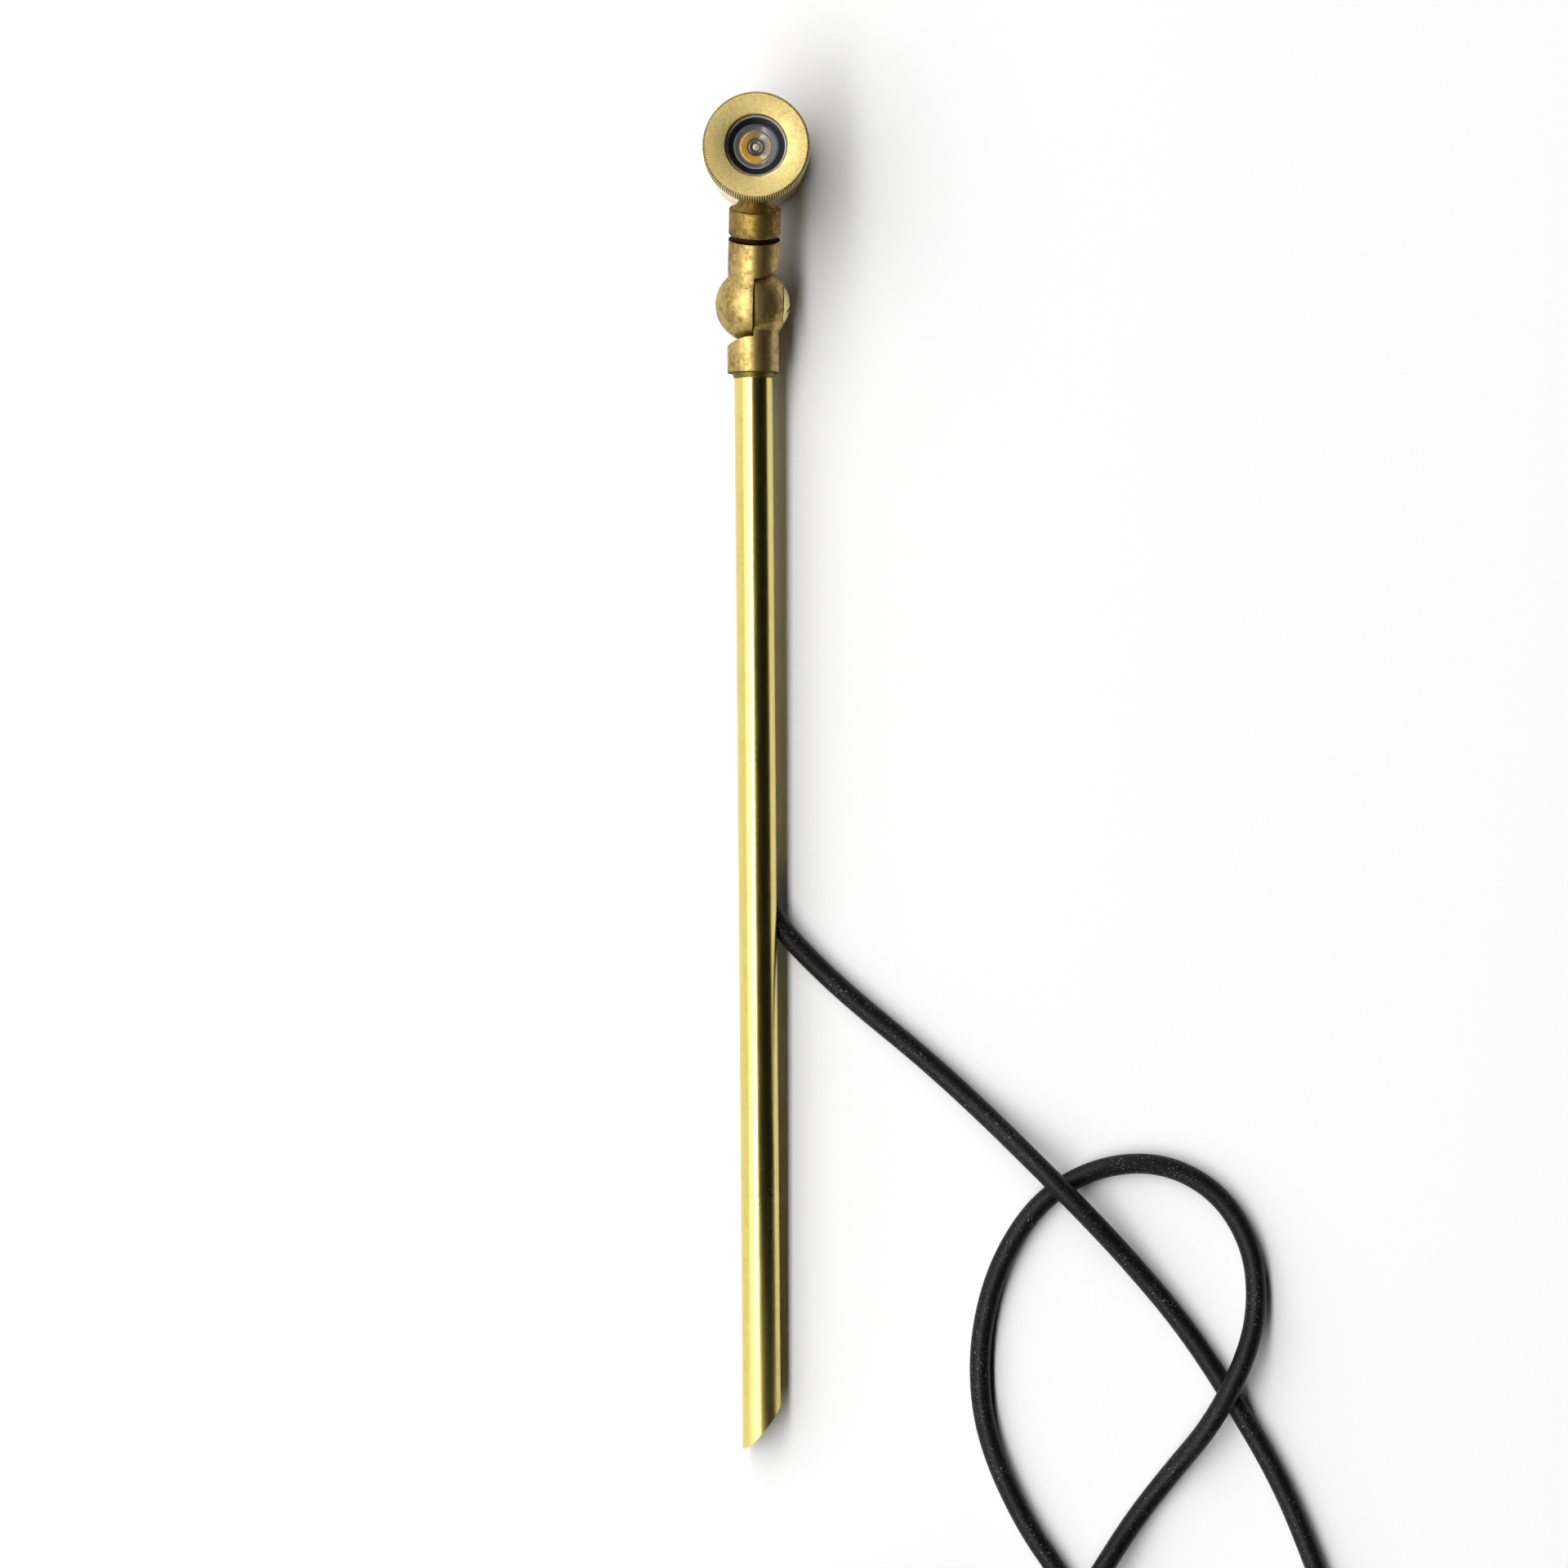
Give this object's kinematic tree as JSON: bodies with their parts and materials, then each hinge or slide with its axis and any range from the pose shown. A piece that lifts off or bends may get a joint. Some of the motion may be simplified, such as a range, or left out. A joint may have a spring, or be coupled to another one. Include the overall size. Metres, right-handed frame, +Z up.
{
  "type": "garden spike spotlight",
  "caption": "Brass garden spotlight on a tube spike with a slanted tip, with a knuckle hinge, a swivel neck, a round lamp head and a rubber lead.",
  "frame": {"origin": "on the surface it lies on, under the middle of the light without its lead", "axes": "+Y from the spike's tip towards the lamp head, +X to the side the lead leaves, +Z up from the surface"},
  "size_m": [0.2564, 0.6899, 0.052],
  "materials": {
    "tube_brass": "polished",
    "satin_brass": "satin, lightly aged",
    "bezel_brass": "bead blasted",
    "bolt_brass": "polished",
    "spring_steel": "plain",
    "black_rubber": "matt",
    "fibre": "matt",
    "glass": "clear",
    "trim_silver": "satin",
    "baffle_black": "matt",
    "lens_clear": "clear, moulded",
    "holder_white": "matt",
    "board_white": "white solder mask",
    "phosphor": "soft",
    "sink_aluminium": "turned",
    "driver_case": "potted",
    "wire_brown": "smooth",
    "wire_blue": "smooth",
    "tie_black": "matt",
    "ferrule": "tinned"
  },
  "bodies": {
    "spike": {"spike_tube": "tube_brass", "slot_grommet": "black_rubber", "tube_collar": "satin_brass", "lower_knuckle": "satin_brass", "spring_washer": "spring_steel", "hinge_oring": "black_rubber", "friction_washer": "fibre", "tube_wires": "wire_brown", "cable_inner": "black_rubber", "sheath_sleeve": "black_rubber", "cable_free": "black_rubber", "cable_coil": "black_rubber", "coil_tie": "tie_black", "core_brown": "wire_brown", "core_blue": "wire_blue", "core_ferrules": "ferrule"},
    "arm": {"upper_knuckle": "satin_brass", "hinge_bolt": "bolt_brass", "swivel_stem": "satin_brass", "swivel_nut": "spring_steel", "stem_wires": "wire_brown"},
    "head": {"head_neck": "satin_brass", "swivel_oring": "black_rubber", "head_body": "satin_brass", "bezel_ring": "bezel_brass", "bezel_oring": "black_rubber", "front_glass": "glass", "glass_gasket": "black_rubber", "trim_ring": "trim_silver", "lens_baffle": "baffle_black", "optic_lens": "lens_clear", "lens_holder": "holder_white", "led_board": "board_white", "led_emitter": "phosphor", "led_screws": "spring_steel", "heat_sink": "sink_aluminium", "driver_module": "driver_case", "head_wires": "wire_brown", "led_wires": "wire_brown"}
  },
  "joints": [
    {"name": "knuckle_tilt", "type": "hinge", "parent": "spike", "child": "arm", "pos_m": [-0.00199, 0.18334, 0.0145], "axis": [0.9994, -0.0349, 0], "range_deg": [-110, 69]},
    {"name": "head_swivel", "type": "hinge", "parent": "arm", "child": "head", "pos_m": [-0.00078, 0.21809, 0.02715], "axis": [0.0328, 0.9391, 0.342], "range_deg": [-170, 170]}
  ]
}
